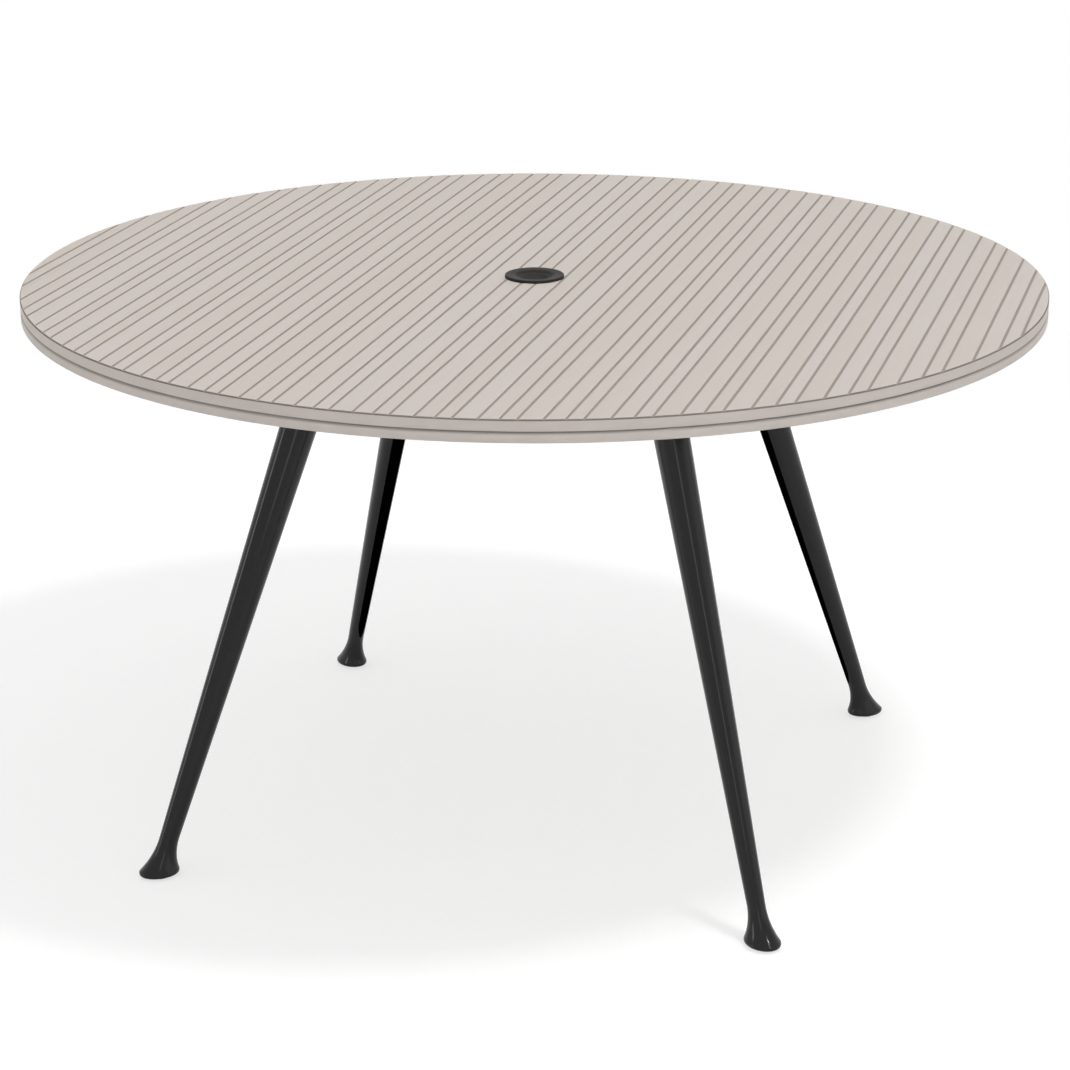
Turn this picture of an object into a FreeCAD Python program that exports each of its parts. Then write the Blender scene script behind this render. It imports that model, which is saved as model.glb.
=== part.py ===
import FreeCAD, Part
import os
import re
import Sketcher

# Round conference table: a grooved two-layer top on four splayed oval legs with flared feet.
# Millimetres, +Z up, origin on the floor under the middle of the table.
# The planks run along Y and the legs stand on the diagonals.

sizes = {
    # the top and its layers
    "table_diameter": 1372,
    "table_height": 750,
    "sheet_thickness": 2,
    "upper_thickness": 12.5,
    "lower_thickness": 14,
    "band_thickness": 2,
    "lower_edge_round": 4.5,
    # planks of three widths between grooves, and the groove beside the middle plank
    "plank_narrow": 19.5,
    "plank_wide": 29.25,
    "plank_medium": 24.4,
    "groove_width": 2.4,
    "groove_depth": 0.8,
    "groove_start": -7.8,
    # cable port in the middle of the top
    "port_diameter": 40,
    "sleeve_wall": 4,
    "sleeve_clearance": 0.4,
    "sleeve_drop": 12,
    "flange_diameter": 80,
    "flange_height": 4,
    "flange_lip": 1.4,
    "dish_drop": 1.8,
    "cap_ledge": 2.5,
    "cap_sink": 1,
    "cap_clearance": 0.4,
    "cap_edge_drop": 0.2,
    "cap_dish": 1.4,
    "skirt_depth": 8,
    "skirt_wall": 2,
    "skirt_step": 1,
    "skirt_end_gap": 0.5,
    "nut_diameter": 68,
    "nut_height": 8,
    # legs: ovals are measured in level section, depth along the radius and width across it
    "leg_radius": 582,
    "leg_splay": 20.85,
    "leg_top_depth": 59.4,
    "leg_top_width": 48.4,
    "neck_depth": 28.1,
    "neck_width": 22.6,
    "neck_height": 50,
    "rim_depth": 55.4,
    "rim_width": 44.2,
    "rim_height": 8,
    "rim_round": 3,
    "sole_round": 3,
    # black strip on the flat inner side of each leg
    "flat_inset_top": 4.7,
    "flat_inset_neck": 2.2,
    "strip_start": 56,
    "strip_thickness": 1.2,
    "strip_clearance": 0.1,
    "rib_width": 6,
    "rib_depth": 4,
    # frame under the top
    "bracket_size": 130,
    "bracket_thickness": 6,
    "bracket_corner": 14,
    "tube_width": 40,
    "tube_height": 20,
    "tube_wall": 2,
    "tube_corner": 1.5,
    "spigot_length": 45,
    "spigot_root": 30,
    "spigot_clearance": 0.2,
    "rail_gap": 0.5,
    # fasteners
    "thread_clearance": 0.05,
    "hole_clearance": 0.3,
    "leg_bolt_diameter": 8,
    "leg_bolt_head": 16,
    "leg_bolt_grip": 20,
    "leg_bolt_spread": 22,
    "leg_bolt_out": 5,
    "bolt_head_sink": 0.2,
    "bolt_end_gap": 3,
    "bracket_screw_diameter": 6,
    "bracket_screw_head": 12,
    "bracket_screw_head_height": 4,
    "bracket_screw_spacing": 100,
    "insert_wall": 1.7,
    "insert_length": 12,
    "insert_end_gap": 0.5,
    "rail_bolt_diameter": 6,
    "rail_bolt_head": 11,
    "rail_bolt_head_height": 3,
    "rail_bolt_length": 14,
    "rail_bolt_inset": 22,
    "board_screw_diameter": 4,
    "board_screw_head": 8,
    "board_screw_bite": 8,
    "board_screw_point": 3,
    "board_screw_edge": 66,
    "board_screw_inner_circle": 280,
    # levelling glides in the feet
    "pad_diameter": 30,
    "pad_thickness": 3,
    "pad_chamfer": 0.8,
    "boss_diameter": 16,
    "boss_height": 6,
    "boss_clearance": 0.5,
    "stem_diameter": 8,
    "stem_seat": 1.5,
    "stem_length": 26.5,
    "stem_chamfer": 1,
    "stem_end_gap": 2,
    "stem_hole_clearance": 0.5,
    "bush_diameter": 11,
    "bush_length": 12,
}

outer_screws = 12
inner_screws = 6
flare_steps = 6
same_place = 0.01
corner_angles = {"back_right": 45, "back_left": 135, "front_left": 225, "front_right": 315}
side_angles = {"back": 0, "left": 90, "front": 180, "right": 270}

doc = FreeCAD.newDocument("RoundConferenceTable")
sheet = doc.addObject("Spreadsheet::Sheet", "Sizes")
for row, (alias, number) in enumerate(sizes.items(), start=1):
    sheet.set(f"A{row}", alias)
    sheet.set(f"B{row}", str(number))
    sheet.setAlias(f"B{row}", alias)
doc.recompute()


# Expressions: a size is written by its alias, and looked up on the sheet

def cells(expression):
    return re.sub(r"[a-z]+(?:_[a-z]+)+", lambda alias: "Sizes." + alias.group(), expression)


def value(expression):
    return float(sheet.evalExpression(cells(expression)))


# Sketches and features

def new_body(label, turn=0):
    body = doc.addObject("PartDesign::Body", label)
    body.Label = label
    body.Placement = FreeCAD.Placement(FreeCAD.Vector(), FreeCAD.Rotation(FreeCAD.Vector(0, 0, 1), turn))
    return body


def origin_feature(body, role):
    return next(feature for feature in body.Origin.OriginFeatures if feature.Role == role)


def sketch_on(body, plane, offset="0"):
    sketch = body.newObject("Sketcher::SketchObject", "Sketch")
    sketch.AttachmentSupport = (origin_feature(body, plane), [""])
    sketch.MapMode = "FlatFace"
    sketch.setExpression("AttachmentOffset.Base.z", cells(offset))
    return sketch


def dimension(sketch, kind, places, expression):
    index = sketch.addConstraint(Sketcher.Constraint(kind, *places, value(expression)))
    sketch.setExpression(f"Constraints[{index}]", cells(expression))


def locate(sketch, geometry, point, x, y):
    dimension(sketch, "DistanceX", (-1, 1, geometry, point), x)
    dimension(sketch, "DistanceY", (-1, 1, geometry, point), y)


def polygon(sketch, points):
    first = sketch.GeometryCount
    places = [FreeCAD.Vector(value(x), value(y), 0) for x, y in points]
    for place, following in zip(places, places[1:] + places[:1]):
        sketch.addGeometry(Part.LineSegment(place, following), False)
    for index, (x, y) in enumerate(points):
        following = first + (index + 1) % len(points)
        sketch.addConstraint(Sketcher.Constraint("Coincident", first + index, 2, following, 1))
        locate(sketch, first + index, 1, x, y)


def rectangle(sketch, left, right, low, high):
    polygon(sketch, [(left, low), (right, low), (right, high), (left, high)])


def circle(sketch, x, y, diameter):
    centre = FreeCAD.Vector(value(x), value(y), 0)
    shape = Part.Circle(centre, FreeCAD.Vector(0, 0, 1), value(diameter) / 2)
    index = sketch.addGeometry(shape, False)
    locate(sketch, index, 3, x, y)
    dimension(sketch, "Diameter", (index,), diameter)


def oval(sketch, x, depth, width):
    # an ellipse starts from its longer axis
    axes = [(depth, FreeCAD.Vector(1, 0, 0), "Horizontal"), (width, FreeCAD.Vector(0, 1, 0), "Vertical")]
    axes.sort(key=lambda axis: -value(axis[0]))
    (longer, long_way, level), (shorter, short_way, _) = axes
    centre = FreeCAD.Vector(value(x), 0, 0)
    long_end = centre + long_way * (value(longer) / 2)
    short_end = centre + short_way * (value(shorter) / 2)
    index = sketch.addGeometry(Part.Ellipse(long_end, short_end, centre), False)
    sketch.exposeInternalGeometry(index)
    sketch.addConstraint(Sketcher.Constraint(level, index + 1))
    locate(sketch, index, 3, x, "0")
    dimension(sketch, "Distance", (index + 1,), longer)
    dimension(sketch, "Distance", (index + 2,), shorter)


def pad(body, sketch, length, side="One side", down=False):
    feature = body.newObject("PartDesign::Pad", "Pad")
    feature.Profile = sketch
    feature.SideType = side
    feature.Reversed = down
    feature.setExpression("Length", cells(length))
    return feature


def checked_cut(body, kind, sketch, settings):
    doc.recompute()
    before = body.Shape.Volume
    feature = body.newObject(kind, "Cut")
    feature.Profile = sketch
    settings(feature)
    doc.recompute()
    if not feature.Shape.Volume < before:
        raise RuntimeError(f"{body.Label}: {feature.Name} cuts nothing")
    return feature


def pocket(body, sketch, length, side="One side", up=False):
    def settings(feature):
        feature.SideType = side
        feature.Reversed = up
        feature.setExpression("Length", cells(length))
    return checked_cut(body, "PartDesign::Pocket", sketch, settings)


def turning(body, axis_x, profile, side):
    # profile points are (radius, height) about an upright axis
    sketch = sketch_on(body, "XZ_Plane", f"-({side})")
    start = FreeCAD.Vector(value(axis_x), 0, 0)
    end = FreeCAD.Vector(value(axis_x), value("table_height"), 0)
    axis = sketch.addGeometry(Part.LineSegment(start, end), True)
    locate(sketch, axis, 1, axis_x, "0")
    locate(sketch, axis, 2, axis_x, "table_height")
    polygon(sketch, [(f"({axis_x}) + ({radius})", height) for radius, height in profile])
    return sketch


def turned(body, axis_x, profile, side="0"):
    sketch = turning(body, axis_x, profile, side)
    feature = body.newObject("PartDesign::Revolution", "Turned")
    feature.Profile = sketch
    feature.ReferenceAxis = (sketch, ["Axis0"])
    feature.Angle = 360
    return feature


def bored(body, axis_x, profile, side="0"):
    sketch = turning(body, axis_x, profile, side)

    def settings(feature):
        feature.ReferenceAxis = (sketch, ["Axis0"])
        feature.Angle = 360
    return checked_cut(body, "PartDesign::Groove", sketch, settings)


def loft(body, sections):
    feature = body.newObject("PartDesign::AdditiveLoft", "Loft")
    feature.Profile = sections[0]
    feature.Sections = sections[1:]
    return feature


def round_edges(body, radius, chosen):
    doc.recompute()
    base = body.Tip
    names = [f"Edge{index}" for index, edge in enumerate(base.Shape.Edges, start=1) if chosen(edge)]
    feature = body.newObject("PartDesign::Fillet", "Fillet")
    feature.Base = (base, names)
    feature.setExpression("Radius", cells(radius))
    return feature


def around(body, features, count):
    pattern = body.newObject("PartDesign::PolarPattern", "PolarPattern")
    pattern.Originals = features
    pattern.Axis = (origin_feature(body, "Z_Axis"), [""])
    pattern.Angle = 360
    pattern.Occurrences = count
    body.Tip = pattern


def at_height(edge, height):
    box = edge.BoundBox
    return abs(box.ZMin - height) < same_place and abs(box.ZMax - height) < same_place


def upright(edge):
    box = edge.BoundBox
    return box.ZLength > same_place and max(box.XLength, box.YLength) < same_place


# Levels and places that several pieces share

face_low = "(table_height - sheet_thickness)"
joint_line = f"({face_low} - upper_thickness)"
underside = f"({joint_line} - lower_thickness)"
leg_top = f"({underside} - bracket_thickness)"
tube_low = f"({underside} - tube_height)"

sleeve_diameter = "(port_diameter + 2 * sleeve_wall)"
top_hole = f"({sleeve_diameter} + 2 * sleeve_clearance)"
cap_diameter = "(port_diameter + 2 * cap_ledge)"
cap_seat = "(table_height - cap_sink)"
skirt_low = f"({cap_seat} - skirt_depth)"
skirt_hole = "(port_diameter / 2 + skirt_step)"
dish_edge = "(table_height + flange_height - dish_drop)"

outer_circle = "(table_diameter / 2 - board_screw_edge)"
inner_circle = "(board_screw_inner_circle / 2)"
screw_circles = ((outer_circle, outer_screws), (inner_circle, inner_screws))
insert_diameter = "(bracket_screw_diameter + 2 * thread_clearance + 2 * insert_wall)"


def axis_at(height):
    return f"(leg_radius - ({height}) * tan(leg_splay))"


corner_place = f"({axis_at(leg_top)} / sqrt(2))"
screw_places = [f"({corner_place} {sign} bracket_screw_spacing / 2)" for sign in "+-"]
rail_length = f"(2 * {corner_place} - bracket_size - 2 * rail_gap)"
rail_bolt_place = f"({rail_length} / 2 - rail_bolt_inset)"
leg_bolt_radius = f"({axis_at(leg_top)} + leg_bolt_out)"
leg_bolt_sides = [f"({sign} leg_bolt_spread / 2)" for sign in ("0 +", "0 -")]
glide_place = axis_at("rim_height")
boss_top = "(pad_thickness + boss_height)"
bush_low = f"({boss_top} + boss_clearance)"
bush_high = f"({bush_low} + bush_length)"
stem_top = "(stem_seat + stem_length)"


# Top

def disc(label, low, thickness, outer, inner):
    body = new_body(label)
    sketch = sketch_on(body, "XY_Plane", low)
    circle(sketch, "0", "0", outer)
    circle(sketch, "0", "0", inner)
    pad(body, sketch, thickness)
    return body


def face_sheet():
    body = disc("face_sheet", face_low, "sheet_thickness", "table_diameter", top_hole)
    pitch = "(plank_narrow + plank_wide + plank_medium)"
    first = f"(groove_start - floor((table_diameter / 2 + groove_start) / {pitch}) * {pitch})"
    sets = f"(floor((table_diameter / 2 - {first}) / {pitch}) + 1)"
    sketch = sketch_on(body, "XY_Plane", "table_height")
    for step in ("0", "plank_narrow", "plank_narrow + plank_wide"):
        middle = f"{first} + {step}"
        rectangle(sketch, f"{middle} - groove_width / 2", f"{middle} + groove_width / 2",
                  "-table_diameter", "table_diameter")
    grooves = pocket(body, sketch, "groove_depth")
    pattern = body.newObject("PartDesign::LinearPattern", "Planks")
    pattern.Originals = [grooves]
    pattern.Direction = (origin_feature(body, "X_Axis"), [""])
    pattern.setExpression("Length", cells(f"({sets} - 1) * {pitch}"))
    pattern.setExpression("Occurrences", cells(sets))
    body.Tip = pattern


def upper_board():
    outer = "table_diameter - 2 * band_thickness"
    body = disc("upper_board", joint_line, "upper_thickness", outer, top_hole)
    for radius, count in screw_circles:
        sketch = sketch_on(body, "XY_Plane", joint_line)
        circle(sketch, radius, "0", "board_screw_diameter + 2 * thread_clearance")
        hole = pocket(body, sketch, "board_screw_bite + board_screw_point / 2", up=True)
        around(body, [hole], count)


def upper_edge_band():
    inner = "table_diameter - 2 * band_thickness"
    disc("upper_edge_band", joint_line, "upper_thickness", "table_diameter", inner)


def lower_board():
    body = disc("lower_board", underside, "lower_thickness", "table_diameter", top_hole)
    rim = value("table_diameter")
    round_edges(body, "lower_edge_round",
                lambda edge: at_height(edge, value(joint_line)) and edge.BoundBox.XLength > rim / 2)
    shank = "(board_screw_diameter / 2 + hole_clearance)"
    head = "(board_screw_head / 2 + hole_clearance)"
    profile = [("0", underside), (head, underside), (shank, f"{underside} + {head} - {shank}"),
               (shank, joint_line), ("0", joint_line)]
    for radius, count in screw_circles:
        around(body, [bored(body, radius, profile)], count)
    sketch = sketch_on(body, "XY_Plane", underside)
    for x in screw_places:
        for y in screw_places:
            circle(sketch, x, y, f"{insert_diameter} + 2 * thread_clearance")
    holes = pocket(body, sketch, "insert_length + insert_end_gap", up=True)
    around(body, [holes], len(corner_angles))


def board_screws():
    body = new_body("board_screws")
    shank = "(board_screw_diameter / 2)"
    head = "(board_screw_head / 2)"
    profile = [("0", underside), (head, underside), (shank, f"{underside} + {head} - {shank}"),
               (shank, f"{joint_line} + board_screw_bite - board_screw_point"),
               ("0", f"{joint_line} + board_screw_bite")]
    for radius, count in screw_circles:
        around(body, [turned(body, radius, profile)], count)


# Cable port

def grommet_ring():
    body = new_body("grommet_ring")
    port = "(port_diameter / 2)"
    sleeve = f"({sleeve_diameter} / 2)"
    flange = "(flange_diameter / 2)"
    pocket_edge = f"({cap_diameter} / 2 + cap_clearance)"
    foot = f"({underside} - sleeve_drop)"
    crown = "(table_height + flange_height)"
    # the bore steps out under the seat to take the cap's skirt
    step = f"({skirt_low} - skirt_end_gap)"
    turned(body, "0", [(port, foot), (sleeve, foot), (sleeve, "table_height"), (flange, "table_height"),
                       (flange, f"{crown} - flange_lip"), (f"{flange} - flange_lip", crown),
                       (pocket_edge, dish_edge), (pocket_edge, cap_seat), (skirt_hole, cap_seat),
                       (skirt_hole, step), (port, step)])


def grommet_cap():
    body = new_body("grommet_cap")
    skirt = f"({skirt_hole} - cap_clearance)"
    hollow = f"({skirt} - skirt_wall)"
    rim = f"({cap_diameter} / 2)"
    edge = f"({dish_edge} - cap_edge_drop)"
    turned(body, "0", [("0", f"{edge} - cap_dish"), (rim, edge), (rim, cap_seat), (skirt, cap_seat),
                       (skirt, skirt_low), (hollow, skirt_low), (hollow, cap_seat), ("0", cap_seat)])


def grommet_nut():
    disc("grommet_nut", f"{underside} - nut_height", "nut_height", "nut_diameter",
         f"{sleeve_diameter} + 2 * thread_clearance")


# Legs

def taper(neck, top, height):
    return f"({neck} + ({top} - {neck}) * (({height}) - neck_height) / ({leg_top} - neck_height))"


def leg_depth(height):
    return taper("neck_depth", "leg_top_depth", height)


def leg_width(height):
    return taper("neck_width", "leg_top_width", height)


def flat_at(height, deeper="0"):
    # how far across the flat lies from the middle of the table
    inset = taper("flat_inset_neck", "flat_inset_top", height)
    return f"({axis_at(height)} - {leg_depth(height)} / 2 + {inset} + ({deeper}))"


def half_flat(height, deeper="0"):
    # half the width of the oval at that flat
    inset = f"({taper('flat_inset_neck', 'flat_inset_top', height)} + ({deeper}))"
    return f"({leg_width(height)} / 2 * sqrt(1 - (1 - 2 * {inset} / {leg_depth(height)})^2))"


def flare(height, neck, rim):
    # the foot swells along an arc that leaves the neck upright
    rise = "(neck_height - rim_height)"
    reach = "((rim_depth - neck_depth) / 2)"
    radius = f"(({rise}^2 + {reach}^2) / (2 * {reach}))"
    share = f"(({radius} - sqrt({radius}^2 - (neck_height - ({height}))^2)) / {reach})"
    return f"({neck} + ({rim} - {neck}) * {share})"


def oval_section(body, height, depth, width):
    sketch = sketch_on(body, "XY_Plane", height)
    oval(sketch, axis_at(height), depth, width)
    return sketch


def beside_flat(body, shallow, deep, low, high):
    # a sliver along the inner flat, seen from the side
    sketch = sketch_on(body, "XZ_Plane")
    polygon(sketch, [(flat_at(low, shallow), low), (flat_at(low, deep), low),
                     (flat_at(high, deep), high), (flat_at(high, shallow), high)])
    return sketch


def leg(corner, turn):
    body = new_body(f"{corner}_leg", turn)
    heights = [f"(rim_height + (neck_height - rim_height) * {step} / {flare_steps})"
               for step in range(flare_steps + 1)]
    foot = [oval_section(body, height, flare(height, "neck_depth", "rim_depth"),
                         flare(height, "neck_width", "rim_width")) for height in heights]
    loft(body, foot)
    neck = oval_section(body, "neck_height", "neck_depth", "neck_width")
    head = oval_section(body, leg_top, "leg_top_depth", "leg_top_width")
    loft(body, [neck, head])
    sole = oval_section(body, "rim_height", "rim_depth", "rim_width")
    # the sole hangs straight down from the rim
    pad(body, sole, "rim_height - pad_thickness", down=True)
    round_edges(body, "rim_round", lambda edge: at_height(edge, value("rim_height")))
    round_edges(body, "sole_round", lambda edge: at_height(edge, value("pad_thickness")))

    past_top = f"({leg_top} + bracket_thickness)"
    seat = beside_flat(body, "0 - leg_top_depth", "strip_thickness", "strip_start", past_top)
    pocket(body, seat, "2 * leg_top_width", side="Symmetric")
    slot = beside_flat(body, "0", "strip_thickness + rib_depth + strip_clearance", "strip_start", past_top)
    pocket(body, slot, "rib_width + 2 * strip_clearance", side="Symmetric")

    sketch = sketch_on(body, "XY_Plane", leg_top)
    for side in leg_bolt_sides:
        circle(sketch, leg_bolt_radius, side, "leg_bolt_diameter + 2 * thread_clearance")
    pocket(body, sketch, "leg_bolt_grip + bolt_end_gap")

    boss = "(boss_diameter / 2 + boss_clearance)"
    bush = "(bush_diameter / 2 + thread_clearance)"
    stem = "(stem_diameter / 2 + stem_hole_clearance)"
    end = f"({stem_top} + stem_end_gap)"
    bored(body, glide_place, [("0", "pad_thickness"), (boss, "pad_thickness"), (boss, bush_low),
                              (bush, bush_low), (bush, bush_high), (stem, bush_high), (stem, end),
                              ("0", end)])


def leg_strip(corner, turn):
    body = new_body(f"{corner}_leg_strip", turn)
    low = "(strip_start + strip_clearance)"
    sections = []
    for height in (low, leg_top):
        sketch = sketch_on(body, "XY_Plane", height)
        polygon(sketch, [(flat_at(height), f"-{half_flat(height)}"),
                         (flat_at(height, "strip_thickness"), f"-{half_flat(height, 'strip_thickness')}"),
                         (flat_at(height, "strip_thickness"), half_flat(height, "strip_thickness")),
                         (flat_at(height), half_flat(height))])
        sections.append(sketch)
    loft(body, sections)
    rib = beside_flat(body, "strip_thickness / 2", "strip_thickness + rib_depth", low, leg_top)
    pad(body, rib, "rib_width", side="Symmetric")


# Frame under the top

def leg_bracket(corner, turn):
    body = new_body(f"{corner}_bracket", turn - corner_angles["back_right"])
    half = "bracket_size / 2"
    edge = f"({corner_place} - {half})"
    plate = sketch_on(body, "XY_Plane", leg_top)
    rectangle(plate, edge, f"{corner_place} + {half}", edge, f"{corner_place} + {half}")
    pad(body, plate, "bracket_thickness")
    round_edges(body, "bracket_corner", upright)

    inside = "(tube_wall + spigot_clearance)"
    spigot_low = f"({tube_low} + {inside})"
    half_width = f"(tube_width / 2 - {inside})"
    ends = (f"{edge} - spigot_length", f"{edge} + spigot_root")
    flanks = (f"{corner_place} - {half_width}", f"{corner_place} + {half_width}")
    for across in (ends + flanks, flanks + ends):
        spigot = sketch_on(body, "XY_Plane", spigot_low)
        rectangle(spigot, *across)
        pad(body, spigot, f"tube_height - 2 * {inside}")
    tapped = sketch_on(body, "XY_Plane", spigot_low)
    for x, y in ((rail_bolt_place, corner_place), (corner_place, rail_bolt_place)):
        circle(tapped, x, y, "rail_bolt_diameter + 2 * thread_clearance")
    pocket(body, tapped, "tube_height", up=True)

    holes = sketch_on(body, "XY_Plane", underside)
    for x in screw_places:
        for y in screw_places:
            circle(holes, x, y, "bracket_screw_diameter + 2 * hole_clearance")
    pocket(body, holes, "bracket_thickness")

    shank = "(leg_bolt_diameter / 2 + hole_clearance)"
    head = "(leg_bolt_head / 2 + hole_clearance)"
    profile = [("0", underside), (head, underside), (shank, f"{underside} - ({head} - {shank})"),
               (shank, leg_top), ("0", leg_top)]
    for side in leg_bolt_sides:
        bored(body, f"({leg_bolt_radius} - {side}) / sqrt(2)", profile,
              f"({leg_bolt_radius} + {side}) / sqrt(2)")


def frame_rail(side, turn):
    body = new_body(f"{side}_rail", turn)
    section = sketch_on(body, "YZ_Plane")
    for wall in ("0", "tube_wall"):
        half = f"(tube_width / 2 - {wall})"
        rectangle(section, f"{corner_place} - {half}", f"{corner_place} + {half}",
                  f"{tube_low} + {wall}", f"{underside} - {wall}")
    pad(body, section, rail_length, side="Symmetric")
    levels = (value(tube_low), value(underside))
    half_length = value(rail_length) / 2
    round_edges(body, "tube_corner",
                lambda edge: edge.BoundBox.XLength > half_length and any(at_height(edge, z) for z in levels))
    holes = sketch_on(body, "XY_Plane", tube_low)
    for sign in "+-":
        circle(holes, f"0 {sign} {rail_bolt_place}", corner_place, "rail_bolt_diameter + 2 * hole_clearance")
    pocket(body, holes, "tube_wall", up=True)


# Fasteners

def leg_bolts():
    body = new_body("leg_bolts", corner_angles["back_right"])
    shank = "(leg_bolt_diameter / 2)"
    head = "(leg_bolt_head / 2)"
    crown = f"({underside} - bolt_head_sink)"
    profile = [("0", crown), (head, crown), (shank, f"{crown} - ({head} - {shank})"),
               (shank, f"{leg_top} - leg_bolt_grip"), ("0", f"{leg_top} - leg_bolt_grip")]
    bolts = [turned(body, leg_bolt_radius, profile, side) for side in leg_bolt_sides]
    around(body, bolts, len(corner_angles))


def bracket_screws():
    body = new_body("bracket_screws")
    shank = "(bracket_screw_diameter / 2)"
    head = "(bracket_screw_head / 2)"
    crown = f"({leg_top} - bracket_screw_head_height)"
    end = f"({underside} + insert_length)"
    profile = [("0", crown), (head, crown), (head, leg_top), (shank, leg_top), (shank, end), ("0", end)]
    screws = [turned(body, x, profile, y) for x in screw_places for y in screw_places]
    around(body, screws, len(corner_angles))


def threaded_inserts():
    body = new_body("threaded_inserts")
    sketch = sketch_on(body, "XY_Plane", underside)
    for x in screw_places:
        for y in screw_places:
            circle(sketch, x, y, insert_diameter)
            circle(sketch, x, y, "bracket_screw_diameter + 2 * thread_clearance")
    around(body, [pad(body, sketch, "insert_length")], len(corner_angles))


def rail_bolts():
    body = new_body("rail_bolts")
    shank = "(rail_bolt_diameter / 2)"
    head = "(rail_bolt_head / 2)"
    crown = f"({tube_low} - rail_bolt_head_height)"
    end = f"({tube_low} + rail_bolt_length)"
    profile = [("0", crown), (head, crown), (head, tube_low), (shank, tube_low), (shank, end), ("0", end)]
    bolts = [turned(body, f"(0 {sign} {rail_bolt_place})", profile, corner_place) for sign in "+-"]
    around(body, bolts, len(side_angles))


# Levelling glides

def glide_bushes():
    body = new_body("glide_bushes", corner_angles["back_right"])
    sketch = sketch_on(body, "XY_Plane", bush_low)
    circle(sketch, glide_place, "0", "bush_diameter")
    circle(sketch, glide_place, "0", "stem_diameter + 2 * thread_clearance")
    around(body, [pad(body, sketch, "bush_length")], len(corner_angles))


def glide_pad(corner, turn):
    body = new_body(f"{corner}_glide_pad", turn)
    rim = "(pad_diameter / 2)"
    boss = "(boss_diameter / 2)"
    hole = "(stem_diameter / 2 + thread_clearance)"
    turned(body, glide_place, [("0", "0"), (f"{rim} - pad_chamfer", "0"), (rim, "pad_chamfer"),
                               (rim, "pad_thickness"), (boss, "pad_thickness"), (boss, boss_top),
                               (hole, boss_top), (hole, "stem_seat"), ("0", "stem_seat")])


def glide_stem(corner, turn):
    body = new_body(f"{corner}_glide_stem", turn)
    shank = "(stem_diameter / 2)"
    turned(body, glide_place, [("0", "stem_seat"), (shank, "stem_seat"), (shank, f"{stem_top} - stem_chamfer"),
                               (f"{shank} - stem_chamfer", stem_top), ("0", stem_top)])


face_sheet()
upper_board()
upper_edge_band()
lower_board()
board_screws()
grommet_ring()
grommet_cap()
grommet_nut()
for corner, turn in corner_angles.items():
    leg(corner, turn)
    leg_strip(corner, turn)
    leg_bracket(corner, turn)
    glide_pad(corner, turn)
    glide_stem(corner, turn)
for side, turn in side_angles.items():
    frame_rail(side, turn)
leg_bolts()
bracket_screws()
threaded_inserts()
rail_bolts()
glide_bushes()
doc.recompute()

# Every feature has to be sound before anything is written

for item in doc.Objects:
    if {"Invalid", "Error"} & set(item.State):
        raise RuntimeError(f"{item.Name} failed: {item.State}")
nodes = [item for item in doc.Objects if item.TypeId == "PartDesign::Body"]
for node in nodes:
    if node.Shape.isNull() or not node.Shape.isValid() or not node.Shape.Solids:
        raise RuntimeError(f"{node.Label} has no sound shape")

os.makedirs("parts", exist_ok=True)
for node in nodes:
    node.Shape.exportStep(f"parts/{node.Label}.step")
    print(f"{node.Label}: {len(node.Shape.Solids)} solids, {node.Shape.Volume:.0f} mm3")
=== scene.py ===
import bpy
import bmesh
import math
from functools import partial
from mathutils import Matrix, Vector


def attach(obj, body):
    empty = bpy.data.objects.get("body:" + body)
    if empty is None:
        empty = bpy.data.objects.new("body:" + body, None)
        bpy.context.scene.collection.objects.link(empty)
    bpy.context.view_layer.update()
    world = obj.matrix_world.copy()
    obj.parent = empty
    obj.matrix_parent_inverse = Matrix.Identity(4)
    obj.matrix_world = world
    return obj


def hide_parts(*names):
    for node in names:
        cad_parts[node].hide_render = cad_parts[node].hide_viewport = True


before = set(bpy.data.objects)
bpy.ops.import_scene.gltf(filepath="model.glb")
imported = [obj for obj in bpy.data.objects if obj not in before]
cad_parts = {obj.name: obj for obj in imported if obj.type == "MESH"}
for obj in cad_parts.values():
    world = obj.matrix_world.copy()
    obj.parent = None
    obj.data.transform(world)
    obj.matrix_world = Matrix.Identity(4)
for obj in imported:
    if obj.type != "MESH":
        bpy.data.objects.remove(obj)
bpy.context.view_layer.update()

# Round conference table: plank-faced top, cable port in the middle, four splayed legs with flared feet.
# Sizes of pieces are millimetres in the dictionaries and metres in the meshes; the stage is in metres.
scene = bpy.context.scene
scene.view_settings.view_transform = "Standard"
mm = 0.001
# where the legs stand, in degrees round the middle
cornerTurns = {"back_right": 45, "back_left": 135, "front_left": 225, "front_right": 315}


def hexColor(code):
    # sRGB hex to the linear values that sockets take, by the sRGB curve
    levels = [int(code[i:i + 2], 16) / 255 for i in (0, 2, 4)]
    return (*(v / 12.92 if v <= 0.04045 else ((v + 0.055) / 1.055) ** 2.4 for v in levels), 1.0)


def addNode(tree, kind, inputs=None, **settings):
    # inputs go by name or number, and take a value, a socket, a node's first output or a list of these
    node = tree.nodes.new(kind)
    for name, setting in settings.items():
        setattr(node, name, setting)
    for label, given in (inputs or {}).items():
        socket = next(s for i, s in enumerate(node.inputs) if s.enabled and label in (i, s.name))
        for source in given if isinstance(given, list) else [given]:
            if isinstance(source, bpy.types.Node):
                source = next(out for out in source.outputs if out.enabled)
            if isinstance(source, bpy.types.NodeSocket):
                tree.links.new(source, socket)
            else:
                socket.default_value = source
    return node


def perMetre(size):
    # texture scale at which one feature is about this many millimetres
    return 1 / (size * mm)


def between(low, high, share):
    return low + (high - low) * share


# Materials

noiseSpan = {"From Min": 0.3, "From Max": 0.7}  # nearly all noise lies between these


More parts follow.
